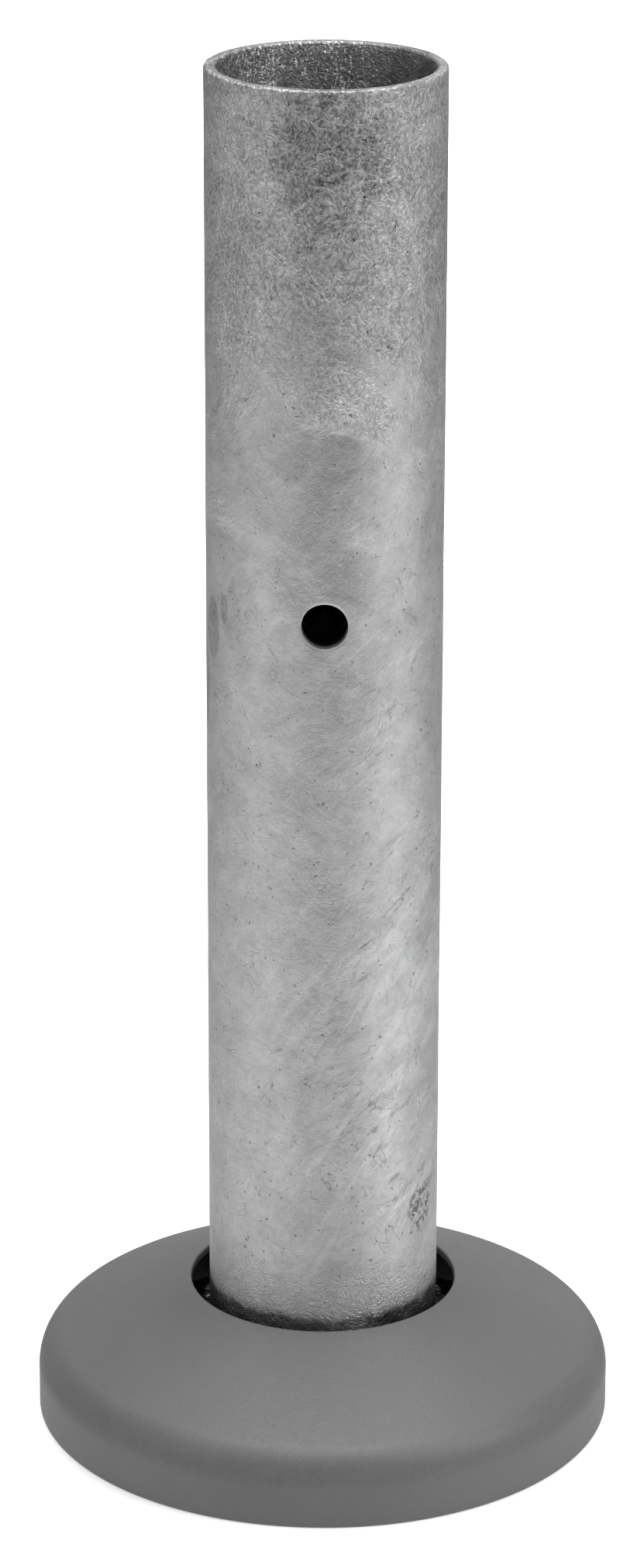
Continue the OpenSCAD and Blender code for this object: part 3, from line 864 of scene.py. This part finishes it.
def makeSurround():
    world = bpy.data.worlds.new("studio")
    bpy.context.scene.world = world
    world.use_nodes = True
    tree = world.node_tree
    s = surround

    def add(kind, **settings):
        node = tree.nodes.new(kind)
        for key, value in settings.items():
            setattr(node, key, value)
        return node

    def put(socket, value):
        if isinstance(value, bpy.types.NodeSocket):
            tree.links.new(value, socket)
        else:
            socket.default_value = value

    def maths(operation, a, b):
        node = add("ShaderNodeMath", operation=operation)
        put(node.inputs[0], a)
        put(node.inputs[1], b)
        return node.outputs[0]

    def ramp(value, low, high, toLow, toHigh):
        node = add("ShaderNodeMapRange", interpolation_type="SMOOTHSTEP")
        for socket, number in zip(node.inputs, (value, low, high, toLow, toHigh)):
            put(socket, number)
        return node.outputs[0]

    def blend(share, without, full):
        rest = maths("MULTIPLY", maths("SUBTRACT", 1.0, share), without)
        return maths("ADD", maths("MULTIPLY", share, full), rest)

    direction = add("ShaderNodeSeparateXYZ")
    put(direction.inputs[0], add("ShaderNodeTexCoord").outputs["Generated"])
    x, y, z = direction.outputs
    ahead = ramp(y, *s["aheadY"], 1.0, 0.0)  # 1 straight towards the camera
    floorFar = maths("ADD", maths("MULTIPLY", ahead, s["farFloor"] - s["sideFloor"]), s["sideFloor"])
    floorGlow = maths("MULTIPLY", ramp(z, s["near"], s["horizon"], 1.0, 0.0), s["nearFloor"])
    aheadGlow = maths("ADD", maths("MULTIPLY", ahead, s["aheadShare"]), 1 - s["aheadShare"])
    floorGlow = maths("MULTIPLY", floorGlow, aheadGlow)
    glow = maths("ADD", floorFar, floorGlow)
    for side in ("left", "right"):
        towardsX, towardsY, strength = s[side]
        facing = maths("ADD", maths("MULTIPLY", x, towardsX), maths("MULTIPLY", y, towardsY))
        glow = maths("ADD", glow, ramp(facing, *s["sideSpread"], 0.0, strength * s["sideShare"]))
    glow = maths("MULTIPLY", glow, ramp(y, *s["behindY"], 1.0, s["behind"]))
    below = ramp(z, *s["skyZ"], 1.0, 0.0)
    sky = ramp(z, *s["zenithZ"], s["above"], s["zenith"])
    glow = blend(below, sky, glow)
    glossy = add("ShaderNodeLightPath").outputs["Is Glossy Ray"]
    put(tree.nodes["Background"].inputs["Strength"], blend(glossy, s["even"], glow))
    tree.nodes["Background"].inputs["Color"].default_value = (1, 1, 1, 1)


def makeLights():
    for name, (place, aim, width, depth, watts) in studioLights.items():
        lamp = bpy.data.lights.new(name, "AREA")
        lamp.shape = "RECTANGLE"
        lamp.size, lamp.size_y = width, depth
        lamp.energy = watts
        holder = bpy.data.objects.new(name, lamp)
        bpy.context.scene.collection.objects.link(holder)
        holder.location = place
        holder.rotation_euler = (Vector(aim) - Vector(place)).to_track_quat("-Z", "Y").to_euler()
        holder.visible_camera = False
        holder.visible_glossy = name != "backdrop"


cameraView = {  # metres and degrees; the camera looks along +Y and down
    "distance": 2.3651, "height": 1.1996, "down": 20.168, "roll": -0.146, "turn": -0.026,
    "lens": 118.62, "sensor": 36.0,
}


def makeCamera():
    v = cameraView
    camera = bpy.data.cameras.new("camera")
    camera.lens = v["lens"]
    camera.sensor_width = v["sensor"]
    holder = bpy.data.objects.new("camera", camera)
    bpy.context.scene.collection.objects.link(holder)
    down, turn, roll = (math.radians(v[key]) for key in ("down", "turn", "roll"))
    ahead = Vector((math.sin(turn) * math.cos(down), math.cos(turn) * math.cos(down), -math.sin(down)))
    right = Vector((math.cos(turn), -math.sin(turn), 0))
    below = ahead.cross(right)
    rightRolled = right * math.cos(roll) + below * math.sin(roll)
    belowRolled = below * math.cos(roll) - right * math.sin(roll)
    for column, axis in enumerate((rightRolled, -belowRolled, -ahead)):
        for row in range(3):
            holder.matrix_world[row][column] = axis[row]
    holder.location = (0, -v["distance"], v["height"])
    bpy.context.scene.camera = holder


makeFloor()
makeSurround()
makeLights()
makeCamera()
bpy.context.scene.view_settings.view_transform = "Standard"
print("floor, lights and camera set")
